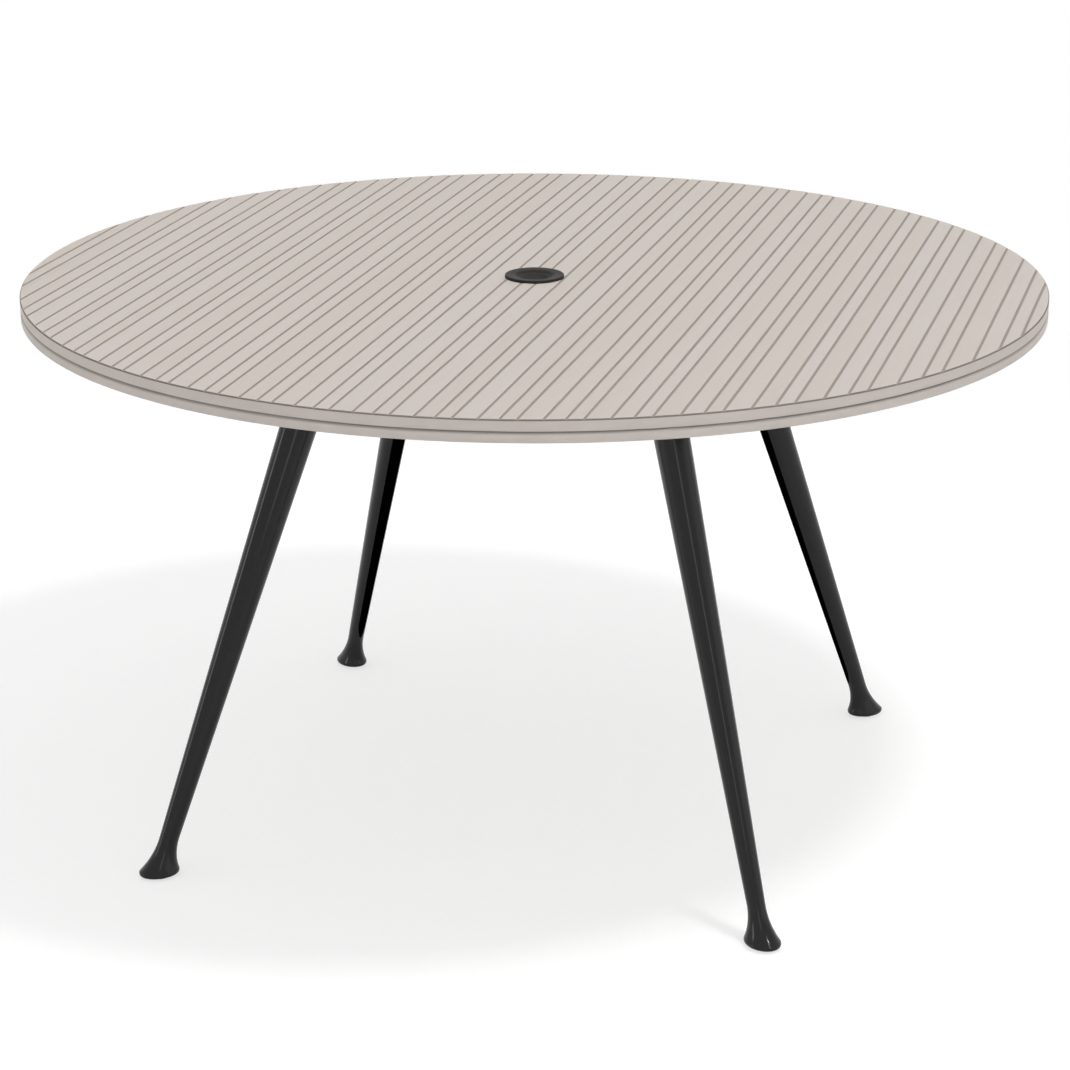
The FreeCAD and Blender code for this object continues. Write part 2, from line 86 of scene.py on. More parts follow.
def newMaterial(name):
    material = bpy.data.materials.new(name)
    material.use_nodes = True
    tree = material.node_tree
    tree.nodes.clear()
    return material, tree, addNode(tree, "ShaderNodeTexCoord").outputs["Object"]


def finishMaterial(tree, inputs):
    shader = addNode(tree, "ShaderNodeBsdfPrincipled", inputs)
    addNode(tree, "ShaderNodeOutputMaterial", {"Surface": shader})


def mottle(tree, place, size, low=0.0, high=1.0, detail=2.0):
    # soft noise of a given grain size, brought between two values
    noise = addNode(tree, "ShaderNodeTexNoise", {"Vector": place, "Scale": perMetre(size), "Detail": detail})
    return addNode(tree, "ShaderNodeMapRange", {"Value": noise, **noiseSpan, "To Min": low, "To Max": high})


def relief(tree, place, size, height, strength, detail=2.0):
    # fine bumps of a given size and height
    noise = addNode(tree, "ShaderNodeTexNoise", {"Vector": place, "Scale": perMetre(size), "Detail": detail})
    return addNode(tree, "ShaderNodeBump", {"Height": noise, "Distance": height * mm, "Strength": strength})


def mottledColor(tree, place, size, lighter, darker, detail=2.0):
    # two shades of one colour in patches of a given size
    patches = mottle(tree, place, size, detail=detail)
    return addNode(tree, "ShaderNodeMix", {"Factor": patches, "A": hexColor(lighter), "B": hexColor(darker)},
                   data_type="RGBA")


# the print and the shape of the planks share these sizes; spare is what the trims cut off again
plankFace = {"widths": (19.5, 29.25, 24.4), "start": -7.8, "grooveWidth": 3.4, "grooveDepth": 0.8,
             "edgeEase": 0.6, "easeSteps": 3, "diameter": 1372, "thickness": 2.0, "rimBevel": 1.0,
             "port": 48.8, "top": 750, "rimSides": 480, "spare": 20, "coreSpread": 2.1, "trimSpread": 4,
             "printFacing": 0.35}
plankPitch = sum(plankFace["widths"])
laminateLook = {"light": "d2cac4", "dark": "cfc7be", "grain": "c4bcb4", "grainSize": (1.5, 90, 5),
                "grainDetail": 3.0, "grainLow": 0.35, "grainHigh": 0.75, "grainShare": 0.3, "pressed": 0.02,
                "pressStrength": 0.15, "sheenPatch": 6, "smooth": 0.52, "rough": 0.6, "shine": 0.2}


def plankLaminate():
    # matt high-pressure laminate: warm grey print, each plank a shade apart, faint grain along it
    look = laminateLook
    material, tree, place = newMaterial("mattPlankLaminate")
    add = partial(addNode, tree)
    # planks are numbered across the top, and the number picks the shade
    across = add("ShaderNodeSeparateXYZ", {"Vector": place}).outputs["X"]
    shifted = add("ShaderNodeMath", {0: across, 1: plankFace["start"] * mm}, operation="SUBTRACT")
    setPlace = add("ShaderNodeMath", {0: shifted, 1: plankPitch * mm}, operation="DIVIDE")
    within = add("ShaderNodeMath", {0: setPlace}, operation="FRACT")
    sets = add("ShaderNodeMath", {0: setPlace}, operation="FLOOR")
    number = add("ShaderNodeMath", {0: sets, 1: len(plankFace["widths"])}, operation="MULTIPLY")
    first, second = plankFace["widths"][:2]
    for edge in (first, first + second):
        past = add("ShaderNodeMath", {0: within, 1: edge / plankPitch}, operation="GREATER_THAN")
        number = add("ShaderNodeMath", {0: number, 1: past}, operation="ADD")
    shade = add("ShaderNodeTexWhiteNoise", {"W": number}, noise_dimensions="1D").outputs["Value"]
    plank = add("ShaderNodeMix", {"Factor": shade, "A": hexColor(look["light"]), "B": hexColor(look["dark"])},
                data_type="RGBA")
    # print grain about 1.5 mm across the plank and 90 mm along it
    grainScale = tuple(perMetre(size) for size in look["grainSize"])
    along = add("ShaderNodeMapping", {"Vector": place, "Scale": grainScale})
    grain = add("ShaderNodeTexNoise", {"Vector": along, "Scale": 1.0, "Detail": look["grainDetail"]})
    veil = add("ShaderNodeMapRange", {"Value": grain, "From Min": look["grainLow"],
                                      "From Max": look["grainHigh"], "To Min": 0.0,
                                      "To Max": look["grainShare"]})
    color = add("ShaderNodeMix", {"Factor": veil, "A": plank, "B": hexColor(look["grain"])}, data_type="RGBA")
    bumps = add("ShaderNodeBump", {"Height": grain, "Distance": look["pressed"] * mm,
                                   "Strength": look["pressStrength"]})
    sheen = mottle(tree, place, look["sheenPatch"], look["smooth"], look["rough"])
    finishMaterial(tree, {"Base Color": color, "Roughness": sheen, "Specular IOR Level": look["shine"],
                          "Normal": bumps})
    return material


coreLook = {"fibre": 1.5, "rough": 0.8, "shine": 0.1}


def laminateCore(name, lighter, darker):
    # paper core of the laminate where it is cut: brown-grey, fibrous, no shine
    material, tree, place = newMaterial(name)
    finishMaterial(tree, {"Base Color": mottledColor(tree, place, coreLook["fibre"], lighter, darker),
                          "Roughness": coreLook["rough"], "Specular IOR Level": coreLook["shine"]})
    return material


greigeLook = {"patch": 35, "sheenPatch": 9, "smooth": 0.5, "rough": 0.58, "shine": 0.25, "peel": 3,
              "peelHigh": 0.03, "peelStrength": 0.2}


def greigeFinish(name, lighter, darker, paintedJointShade=None):
    # matt lacquer, sprayed and rubbed, and edging to match: even colour, slight orange peel about 3 mm apart;
    # where a joint shade is given, painted shade darkens it towards the joint
    look = greigeLook
    material, tree, place = newMaterial(name)
    color = mottledColor(tree, place, look["patch"], lighter, darker)
    if paintedJointShade:
        # painted shade: the colour darkens upwards into the joint under the upper board, standing in for the
        # shade of its overhang
        height = addNode(tree, "ShaderNodeSeparateXYZ", {"Vector": place}).outputs["Z"]
        fade = addNode(tree, "ShaderNodeMapRange", {"Value": height, "From Min": paintedJointShade["low"] * mm,
                                                    "From Max": paintedJointShade["high"] * mm},
                       interpolation_type="SMOOTHSTEP")
        color = addNode(tree, "ShaderNodeMix", {"Factor": fade, "A": color, "B": hexColor(paintedJointShade["shade"])},
                        data_type="RGBA")
    sheen = mottle(tree, place, look["sheenPatch"], look["smooth"], look["rough"])
    bumps = relief(tree, place, look["peel"], look["peelHigh"], look["peelStrength"])
    finishMaterial(tree, {"Base Color": color, "Roughness": sheen, "Specular IOR Level": look["shine"],
                          "Normal": bumps})
    return material


coatLook = {"grain": 1.4, "grainHigh": 0.03, "sheenPatch": 4, "shine": 0.3}


def powderCoat(name, lighter, darker, smooth, rough, pebble):
    # baked polyester powder: black that mirrors lamps as soft streaks
    # its real grain of 0.4 mm is drawn at 1.4 mm to show
    material, tree, place = newMaterial(name)
    finishMaterial(tree, {"Base Color": mottledColor(tree, place, coatLook["grain"], lighter, darker),
                          "Roughness": mottle(tree, place, coatLook["sheenPatch"], smooth, rough),
                          "Specular IOR Level": coatLook["shine"],
                          "Normal": relief(tree, place, coatLook["grain"], coatLook["grainHigh"], pebble)})
    return material


plasticLook = {"patch": 8, "sheenPatch": 2, "sheenSpread": 0.04, "grainHigh": 0.02, "grainStrength": 0.2}


def mouldedPlastic(name, lighter, darker, rough, shine, grain):
    # plastic or rubber moulded in a spark-eroded tool: even colour, fine dull grain
    # its real grain of about 0.1 mm is drawn at about 1 mm to show
    look = plasticLook
    material, tree, place = newMaterial(name)
    sheen = mottle(tree, place, look["sheenPatch"], rough - look["sheenSpread"], rough + look["sheenSpread"])
    finishMaterial(tree, {"Base Color": mottledColor(tree, place, look["patch"], lighter, darker),
                          "Roughness": sheen, "Specular IOR Level": shine,
                          "Normal": relief(tree, place, grain, look["grainHigh"], look["grainStrength"])})
    return material


metalLook = {"patch": 3, "sheenPatch": 1.5, "sheenSpread": 0.06}


def turnedMetal(name, lighter, darker, rough):
    # turned, plated or bare: bright metal with handling marks in its sheen
    look = metalLook
    material, tree, place = newMaterial(name)
    sheen = mottle(tree, place, look["sheenPatch"], rough - look["sheenSpread"], rough + look["sheenSpread"])
    finishMaterial(tree, {"Base Color": mottledColor(tree, place, look["patch"], lighter, darker),
                          "Metallic": 1.0, "Roughness": sheen})
    return material


fibreLook = {"light": "b5956d", "dark": "9b7d58", "fibre": 1.2, "detail": 4.0, "rough": 0.9, "shine": 0.1}


def rawFibreboard():
    # sanded fibreboard: felted brown fibres, no sheen
    look = fibreLook
    material, tree, place = newMaterial("rawFibreboard")
    color = mottledColor(tree, place, look["fibre"], look["light"], look["dark"], look["detail"])
    finishMaterial(tree, {"Base Color": color, "Roughness": look["rough"],
                          "Specular IOR Level": look["shine"]})
    return material


decor = plankLaminate()
core = laminateCore("pressedLaminateGroove", "aba199", "9f958d")
# the cut core shows on the rim, here in a darker copy of the groove core: painted shade that keeps the lit
# bevel a dark line
rimCorePaintedShade = laminateCore("shadedLaminateEdgeCore", "8f867f", "847b74")
edging = greigeFinish("mattAbsEdging", "ded5ce", "dad1ca")
# the lower board's lacquer carries painted shade that darkens it towards the joint under the upper board
lacquer = greigeFinish("mattGreigeLacquer", "ded5ce", "d9d0c9", {"shade": "a79e98", "low": 730, "high": 734})
legCoat = powderCoat("glossBlackPowderCoat", "131313", "0e0e0e", smooth=0.12, rough=0.16, pebble=0.08)
frameCoat = powderCoat("blackFramePowderCoat", "1f1f1f", "191919", smooth=0.42, rough=0.5, pebble=0.25)
stripRubber = mouldedPlastic("mattBlackRubber", "040404", "020202", rough=0.8, shine=0.0, grain=1.2)
grommetAbs = mouldedPlastic("charcoalAbs", "3a3633", "34302e", rough=0.36, shine=0.02, grain=1.0)
capAbs = mouldedPlastic("softTouchAbs", "3f413f", "3a3c3a", rough=0.45, shine=0.02, grain=1.0)
padNylon = mouldedPlastic("blackNylon", "171717", "121212", rough=0.5, shine=0.3, grain=1.0)
zinc = turnedMetal("brightZincPlate", "b4b6b8", "a6a9ad", rough=0.32)
brass = turnedMetal("turnedBrass", "c6a15a", "b8934e", rough=0.35)
fibreboard = rawFibreboard()
print("materials made, in all with those of the frame:", len(bpy.data.materials))


# Meshes

meshLimits = {"mergeWithin": 1e-7, "sharpAbove": 32}  # metres and degrees


def finishMesh(mesh):
    shape = bmesh.new()
    shape.from_mesh(mesh)
    bmesh.ops.remove_doubles(shape, verts=shape.verts, dist=meshLimits["mergeWithin"])
    bmesh.ops.recalc_face_normals(shape, faces=shape.faces)
    shape.to_mesh(mesh)
    shape.free()
    mesh.polygons.foreach_set("use_smooth", [True] * len(mesh.polygons))
    mesh.set_sharp_from_angle(angle=math.radians(meshLimits["sharpAbove"]))
    mesh.update()


def addPiece(mesh, body, nodes, material=None):
    piece = bpy.data.objects.new(mesh.name, mesh)
    scene.collection.objects.link(piece)
    if material:
        mesh.materials.append(material)
    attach(piece, body)
    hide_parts(*nodes)


def easeCorner(before, corner, after, radius, steps=5):
    # a corner of a flat outline turned into an arc
    corner = Vector(corner)
    toBefore = (Vector(before) - corner).normalized()
    toAfter = (Vector(after) - corner).normalized()
    half = toBefore.angle(toAfter) / 2
    centre = corner + (toBefore + toAfter).normalized() * (radius / math.sin(half))
    start = corner + toBefore * (radius / math.tan(half)) - centre
    end = corner + toAfter * (radius / math.tan(half)) - centre
    # slerp gives unit vectors
    return [tuple(centre + start.slerp(end, step / steps) * radius) for step in range(steps + 1)]


def easedOutline(sizes, corners):
    # each corner names its radius, its height and, where it has one, its easing, in order round the outline
    measured = [[sizes[label] for label in corner] for corner in corners]
    outline = []
    for index, (radius, height, *easing) in enumerate(measured):
        if easing:
            before = measured[index - 1][:2]
            after = measured[(index + 1) % len(measured)][:2]
            outline += easeCorner(before, (radius, height), after, easing[0])
        else:
            outline.append((radius, height))
    return outline


def turnedMesh(name, outline, sides, x=0.0, y=0.0):
    # a closed outline of (radius, height) turned about an upright axis
    points, faces = [], []
    for radius, height in outline:
        for side in range(sides):
            angle = 2 * math.pi * side / sides
            points.append(((x + radius * math.cos(angle)) * mm, (y + radius * math.sin(angle)) * mm,
                           height * mm))
    for ring in range(len(outline)):
        here, there = ring * sides, (ring + 1) % len(outline) * sides
        for side in range(sides):
            following = (side + 1) % sides
            faces.append((here + side, here + following, there + following, there + side))
    mesh = bpy.data.meshes.new(name)
    mesh.from_pydata(points, [], faces)
    finishMesh(mesh)
    return mesh


def pointMesh(name, places):
    mesh = bpy.data.meshes.new(name)
    mesh.from_pydata([tuple(v * mm for v in place) for place in places], [], [])
    return mesh


def inMetres(sizes):
    # whole numbers are counts, all else is a length or a place
    metres = {}
    for label, size in sizes.items():
        if isinstance(size, tuple):
            size = tuple(v * mm for v in size)
        elif not isinstance(size, int):
            size = size * mm
        metres[label] = size
    return metres


def newTree(name, sizes):
    # a tree with a named input for each size
    kinds = {int: "NodeSocketInt", float: "NodeSocketFloat", tuple: "NodeSocketVector"}
    tree = bpy.data.node_groups.new(name, "GeometryNodeTree")
    tree.interface.new_socket("Geometry", in_out="INPUT", socket_type="NodeSocketGeometry")
    for label, size in sizes.items():
        tree.interface.new_socket(label, in_out="INPUT", socket_type=kinds[type(size)])
    tree.interface.new_socket("Geometry", in_out="OUTPUT", socket_type="NodeSocketGeometry")
    return tree, addNode(tree, "NodeGroupInput").outputs


def closeTree(tree, geometry, material):
    whole = addNode(tree, "GeometryNodeRealizeInstances", {"Geometry": geometry})
    painted = addNode(tree, "GeometryNodeSetMaterial", {"Geometry": whole, "Material": material})
    addNode(tree, "NodeGroupOutput", {"Geometry": painted})


def grownMesh(name, tree, sizes, start):
    # runs a tree on a starting mesh and keeps the plain result
    grower = bpy.data.objects.new(name + "Grower", start)
    scene.collection.objects.link(grower)
    modifier = grower.modifiers.new(name, "NODES")
    modifier.node_group = tree
    for item in tree.interface.items_tree:
        if item.in_out == "INPUT" and item.name in sizes:
            modifier[item.identifier] = sizes[item.name]
    evaluated = grower.evaluated_get(bpy.context.evaluated_depsgraph_get())
    mesh = bpy.data.meshes.new_from_object(evaluated)
    bpy.data.objects.remove(grower)
    mesh.name = name
    # points bring an empty material slot with them
    painted = [mesh.materials[face.material_index] for face in mesh.polygons]
    kept = [material for material in mesh.materials if material]
    mesh.materials.clear()
    for material in kept:
        mesh.materials.append(material)
    mesh.polygons.foreach_set("material_index", [kept.index(material) for material in painted])
    finishMesh(mesh)
    return mesh


# Plank face: bars of three widths laid side by side on a core, trimmed to the round and bored for the port

def plankTree(sizes):
    tree, given = newTree("plankFace", sizes)
    add = partial(addNode, tree)
    rail = add("GeometryNodeCurvePrimitiveLine", {"Start": given["nearEnd"], "End": given["farEnd"]})
    layers = []
    for kind in range(len(plankFace["widths"])):
        outline = add("GeometryNodeCurvePrimitiveQuadrilateral",
                      {"Width": given[f"barWidth{kind}"], "Height": given["barHeight"]})
        eased = add("GeometryNodeFilletCurve", {"Curve": outline, "Radius": given["edgeEase"],
                                                "Count": given["easeSteps"]}, mode="POLY")
        bar = add("GeometryNodeCurveToMesh", {"Curve": rail, "Profile Curve": eased, "Fill Caps": True})
        row = add("GeometryNodeMeshLine", {"Count": given["sets"], "Start Location": given[f"firstBar{kind}"],
                                           "Offset": given["pitch"]}, mode="OFFSET")
        laid = add("GeometryNodeInstanceOnPoints", {"Points": row, "Instance": bar})
        layers.append(add("GeometryNodeRealizeInstances", {"Geometry": laid}))
    slab = add("GeometryNodeMeshCube", {"Size": given["coreSize"]})
    layers.append(add("GeometryNodeTransform", {"Geometry": slab, "Translation": given["corePlace"]}))
    sheet = add("GeometryNodeMeshBoolean", {1: layers}, operation="UNION", solver="EXACT")
    trims = []
    for radius in ("radius", "portRadius"):
        trim = add("GeometryNodeMeshCylinder", {"Vertices": given["rimSides"], "Radius": given[radius],
                                                "Depth": given["trimHeight"]})
        trims.append(add("GeometryNodeTransform", {"Geometry": trim, "Translation": given["corePlace"]}))
    rim, port = trims
    cone = add("GeometryNodeMeshCone", {"Vertices": given["rimSides"], "Radius Bottom": given["bevelFoot"],
                                        "Radius Top": given["bevelTop"], "Depth": given["bevelDepth"]})
    bevel = add("GeometryNodeTransform", {"Geometry": cone, "Translation": given["bevelPlace"]})
    rounded = add("GeometryNodeMeshBoolean", {1: [sheet, rim, bevel]}, operation="INTERSECT", solver="EXACT")
    bored = add("GeometryNodeMeshBoolean", {0: rounded, 1: port}, operation="DIFFERENCE", solver="EXACT")
    # the print lies on the crowns of the planks, and the cut core shows everywhere else
    place = add("GeometryNodeInputPosition")
    height = add("ShaderNodeSeparateXYZ", {0: place}).outputs["Z"]
    facing = add("ShaderNodeSeparateXYZ", {0: add("GeometryNodeInputNormal")}).outputs["Z"]
    crown = add("ShaderNodeMath", {0: height, 1: given["printLevel"]}, operation="GREATER_THAN")
    upward = add("ShaderNodeMath", {0: facing, 1: plankFace["printFacing"]}, operation="GREATER_THAN")
    printed = add("ShaderNodeMath", {0: crown, 1: upward}, operation="MULTIPLY")
    flat = add("ShaderNodeVectorMath", {0: place, 1: (1, 1, 0)}, operation="MULTIPLY")
    reach = add("ShaderNodeVectorMath", {0: flat}, operation="LENGTH").outputs["Value"]
    # painted shade: faces on the rim and its bevel take the darker copy of the core
    rimShadeFaces = add("ShaderNodeMath", {0: reach, 1: given["rimStart"]}, operation="GREATER_THAN")
    whole = add("GeometryNodeRealizeInstances", {"Geometry": bored})
    cut = add("GeometryNodeSetMaterial", {"Geometry": whole, "Material": core})
    faced = add("GeometryNodeSetMaterial", {"Geometry": cut, "Material": decor, "Selection": printed})
    edged = add("GeometryNodeSetMaterial", {"Geometry": faced, "Material": rimCorePaintedShade, "Selection": rimShadeFaces})
    add("NodeGroupOutput", {"Geometry": edged})
    return tree


def plankSizes():
    radius, top, spare = plankFace["diameter"] / 2, plankFace["top"], plankFace["spare"]
    reach = radius + spare
    bevelRadius = radius - plankFace["rimBevel"]
    setsLeft = math.ceil((radius + plankFace["start"]) / plankPitch)
    setsRight = math.ceil((radius - plankFace["start"]) / plankPitch)
    barLevel = top - plankFace["grooveDepth"]
    coreWidth = plankFace["coreSpread"] * reach
    coreHeight = plankFace["thickness"] - plankFace["grooveDepth"]
    sizes = {"nearEnd": (0, -reach, 0), "farEnd": (0, reach, 0), "barHeight": 2 * plankFace["grooveDepth"],
             "edgeEase": plankFace["edgeEase"], "easeSteps": plankFace["easeSteps"],
             "pitch": (plankPitch, 0, 0), "sets": setsLeft + setsRight,
             "coreSize": (coreWidth, coreWidth, coreHeight), "corePlace": (0, 0, barLevel - coreHeight / 2),
             "radius": radius, "portRadius": plankFace["port"] / 2, "rimSides": plankFace["rimSides"],
             "trimHeight": plankFace["trimSpread"] * plankFace["thickness"],
             "printLevel": top - plankFace["edgeEase"], "rimStart": bevelRadius,
             "bevelFoot": bevelRadius + spare, "bevelTop": bevelRadius - spare, "bevelDepth": 2.0 * spare,
             "bevelPlace": (0, 0, top - spare)}
    left = plankFace["start"] - setsLeft * plankPitch
    for kind, width in enumerate(plankFace["widths"]):
        sizes[f"barWidth{kind}"] = width - plankFace["grooveWidth"]
        sizes[f"firstBar{kind}"] = (left + width / 2, 0, barLevel)
        left += width
    return inMetres(sizes)


plankInputs = plankSizes()
plankMesh = grownMesh("plankFace", plankTree(plankInputs), plankInputs, pointMesh("plankStart", []))
addPiece(plankMesh, "table", ["face_sheet"])
print("plank face:", len(plankMesh.polygons), "faces")

# Edges of the top

edgeBand = {"outer": 686, "inner": 684, "low": 735.5, "high": 748, "lowEase": 0.5, "highEase": 0.2,
            "sides": 480}
bandOutline = easedOutline(edgeBand, [("inner", "low"), ("outer", "low", "lowEase"),
                                      ("outer", "high", "highEase"), ("inner", "high")])
addPiece(turnedMesh("edgeBand", bandOutline, edgeBand["sides"]), "table", ["upper_edge_band"],
         edging)


def ringCutTree(name, sizes, rings, material):
    # tapered holes set round one or more circles, cut out of the starting mesh
    tree, given = newTree(name, sizes)
    add = partial(addNode, tree)
    circles = [add("GeometryNodeMeshCircle", {"Vertices": given[ring + "Count"],
                                              "Radius": given[ring + "Radius"]}) for ring in rings]
    places = add("GeometryNodeJoinGeometry", {"Geometry": circles})
    cutter = add("GeometryNodeMeshCone", {"Vertices": given["holeSides"], "Radius Top": given["holeTop"],
                                          "Radius Bottom": given["holeFoot"], "Depth": given["holeDepth"]})
    holes = add("GeometryNodeInstanceOnPoints", {"Points": places, "Instance": cutter})
    raised = add("GeometryNodeTransform", {"Geometry": holes, "Translation": given["holePlace"]})
    solid = add("GeometryNodeRealizeInstances", {"Geometry": raised})
    cut = add("GeometryNodeMeshBoolean", {0: given["Geometry"], 1: solid}, operation="DIFFERENCE",
              solver="EXACT")
    closeTree(tree, cut, material)
    return tree


lowerBoard = {"radius": 686, "port": 24.4, "low": 721.5, "high": 735.5, "topRound": 4.5, "footEase": 0.8,
              "sides": 480}
boardScrewRings = {"outerCount": 12, "outerRadius": 620.0, "innerCount": 6, "innerRadius": 140.0}
boardHoles = inMetres({**boardScrewRings, "holeSides": 24, "holeFoot": 4.8, "holeTop": 1.8, "holeDepth": 3.0,
                       "holePlace": (0, 0, 721.0)})
boardOutline = easedOutline(lowerBoard, [("port", "low"), ("radius", "low", "footEase"),
                                         ("radius", "high", "topRound"), ("port", "high")])
boardBlank = turnedMesh("boardBlank", boardOutline, lowerBoard["sides"])
boardTree = ringCutTree("screwHoles", boardHoles, ("outer", "inner"), lacquer)
addPiece(grownMesh("lowerBoard", boardTree, boardHoles, boardBlank), "table", ["lower_board"])
print("edges of the top made")

# Cable port: flanged ring, lift-out cap and the nut that holds the ring from below

portRing = {"port": 20, "sleeve": 24, "flange": 40, "foot": 709.5, "table": 750, "crown": 754, "seat": 749,
            "skirtHole": 21, "step": 740.5, "pocket": 22.9, "pocketHigh": 750.6, "recess": 28,
            "recessHigh": 752.7, "recessEase": 4, "lip": 1.3, "footEase": 0.6, "flangeEase": 0.2,
            "pocketEase": 0.5, "seatEase": 0.4, "sides": 120}
ringOutline = easedOutline(portRing, [
    ("port", "foot", "footEase"), ("sleeve", "foot", "footEase"), ("sleeve", "table"),
    ("flange", "table", "flangeEase"), ("flange", "crown", "lip"), ("recess", "recessHigh", "recessEase"),
    ("pocket", "pocketHigh", "pocketEase"), ("pocket", "seat"), ("skirtHole", "seat", "seatEase"),
    ("skirtHole", "step"), ("port", "step", "seatEase")])
addPiece(turnedMesh("portRing", ringOutline, portRing["sides"]), "table", ["grommet_ring"],
         grommetAbs)

portCap = {"edge": 22.5, "rim": 750.4, "seat": 749, "cup": 19.6, "cupTop": 749.8, "cupFloor": 744.2,
           "cupCurve": 5, "skirt": 20.6, "low": 741, "footRing": 18.6, "underside": 742, "axis": 0,
           "rimEase": 0.3, "skirtEase": 0.5, "footEase": 0.4, "sides": 120, "steps": 18}
capDish = [(portCap["cup"] * step / portCap["steps"],
            between(portCap["cupFloor"], portCap["cupTop"], (step / portCap["steps"]) ** portCap["cupCurve"]))
           for step in range(portCap["steps"] + 1)]
# the dish already ends in the first of these corners
capOutline = capDish + easedOutline(portCap, [
    ("cup", "cupTop"), ("edge", "rim", "rimEase"), ("edge", "seat", "rimEase"), ("skirt", "seat"),
    ("skirt", "low", "skirtEase"), ("footRing", "low", "footEase"), ("footRing", "underside"),
    ("axis", "underside")])[1:]
addPiece(turnedMesh("portCap", capOutline, portCap["sides"]), "cap", ["grommet_cap"],
         capAbs)

portNut = {"bore": 24.05, "radius": 34, "low": 713.5, "high": 721.5, "ease": 0.8, "sides": 120}
nutGrips = inMetres({"rimCount": 16, "rimRadius": 35.5, "holeSides": 20, "holeFoot": 3.2, "holeTop": 3.2,
                     "holeDepth": 20.0, "holePlace": (0, 0, 707.0)})
nutOutline = easedOutline(portNut, [("bore", "low", "ease"), ("radius", "low", "ease"), ("radius", "high"),
                                    ("bore", "high")])
nutBlank = turnedMesh("nutBlank", nutOutline, portNut["sides"])
nutTree = ringCutTree("gripNotches", nutGrips, ("rim",), grommetAbs)
addPiece(grownMesh("portNut", nutTree, nutGrips, nutBlank), "table", ["grommet_nut"])
print("cable port made")

# Legs: level ovals along a splayed axis, tapered to a neck and flared to the foot, with a black strip let
# into the inner side that narrows downwards and ends in a point

# bore gives the radius and level of each step of the hole for the glide, from its blind end down
legForm = {"axisAtFloor": 582, "splay": 20.85, "topLevel": 715.5, "topDepth": 59.4, "topWidth": 48.4,
           "neckLevel": 50, "neckDepth": 28.1, "neckWidth": 22.6, "rimLevel": 8, "rimDepth": 55.4,
           "rimWidth": 44.2, "flareStart": 1.5, "soleLevel": 3, "rimRound": 3, "soleRound": 3,
           "seatTop": 5.9, "seatNeck": 2.1, "seatLimit": 4, "tipLevel": 54, "tipRise": 22,
           "bore": [(4.5, 30), (4.5, 21.5), (5.55, 21.5), (5.55, 9.5), (8.5, 9.5), (8.5, 3)],
           "arcSteps": 60, "seatSteps": 24, "tipSteps": 10, "shaftSteps": 14, "flareSteps": 14}
legStrip = {"thickTop": 1.2, "thickNeck": 0.5, "thickTip": 0.15, "sunk": 0.3, "sunkShare": 0.9,
            "faceShare": 0.95}


def legAxis(level):
    return legForm["axisAtFloor"] - level * math.tan(math.radians(legForm["splay"]))


def shaftShare(level):
    return (level - legForm["neckLevel"]) / (legForm["topLevel"] - legForm["neckLevel"])


def legTaper(neck, top, level):
    return between(legForm[neck], legForm[top], max(shaftShare(level), 0.0))


def seatInset(level):
    # how deep the flat seat of the strip is cut, which runs out to nothing at the tip
    share = (level - legForm["tipLevel"]) / legForm["tipRise"]
    return legTaper("seatNeck", "seatTop", level) * min(max(share, 0.0), 1.0)


def legRing(level, depth, width, axis):
    # one level section, an oval that is squared off on its inner side where the strip sits
    inset = legTaper("seatNeck", "seatTop", level)
    # the points stay spread round the small rings of the bore
    edge = math.acos(-(1 - 2 * inset / max(depth, legForm["seatLimit"] * inset)))
    arcSteps, seatSteps = legForm["arcSteps"], legForm["seatSteps"]
    angles = [edge * (2 * step / arcSteps - 1) for step in range(arcSteps + 1)]
    angles += [edge + 2 * (math.pi - edge) * step / seatSteps for step in range(1, seatSteps)]
    seat = seatInset(level) - depth / 2
    return [(axis + max(depth / 2 * math.cos(a), seat), width / 2 * math.sin(a), level) for a in angles]


def shaftLevels():
    # close together where the strip comes to its point
    tip, rise = legForm["tipLevel"], legForm["tipRise"]
    tipSteps, shaftSteps = legForm["tipSteps"], legForm["shaftSteps"]
    shaft = legForm["topLevel"] - tip - rise
    levels = [tip + rise * (step / tipSteps) ** 2 for step in range(tipSteps)]
    return levels + [tip + rise + shaft * step / shaftSteps for step in range(shaftSteps + 1)]


def shaftOval(level):
    return legTaper("neckDepth", "topDepth", level), legTaper("neckWidth", "topWidth", level), legAxis(level)


def legRings():
    # from the bore for the glide, out over the sole and up the flare and the shaft
    neck, rim, soleLevel = legForm["neckLevel"], legForm["rimLevel"], legForm["soleLevel"]
    rise = neck - rim
    reach = (legForm["rimDepth"] - legForm["neckDepth"]) / 2
    radius = (rise ** 2 + reach ** 2) / (2 * reach)

    def swell(level):
        return radius - math.sqrt(radius ** 2 - (neck - level) ** 2)

    rings = [legRing(level, 2 * r, 2 * r, legAxis(rim)) for r, level in legForm["bore"]]
    low, high = (reach, soleLevel), (reach, rim)
    above = rim + legForm["flareStart"]
    profile = easeCorner((0, soleLevel), low, high, legForm["soleRound"])
    profile += easeCorner(low, high, (swell(above), above), legForm["rimRound"])
    for out, level in profile:
        depth = legForm["rimDepth"] - 2 * (reach - out)
        if level < rim - legForm["rimRound"] / 2:
            width = legForm["rimWidth"] - 2 * (reach - out)
        else:
            width = between(legForm["neckWidth"], legForm["rimWidth"], out / reach)
        rings.append(legRing(level, depth, width, legAxis(max(level, rim))))
    for step in range(legForm["flareSteps"]):
        level = above + (neck - above) * step / legForm["flareSteps"]
        share = swell(level) / reach
        rings.append(legRing(level, between(legForm["neckDepth"], legForm["rimDepth"], share),
                             between(legForm["neckWidth"], legForm["rimWidth"], share), legAxis(level)))
    return rings + [legRing(level, *shaftOval(level)) for level in [neck] + shaftLevels()]


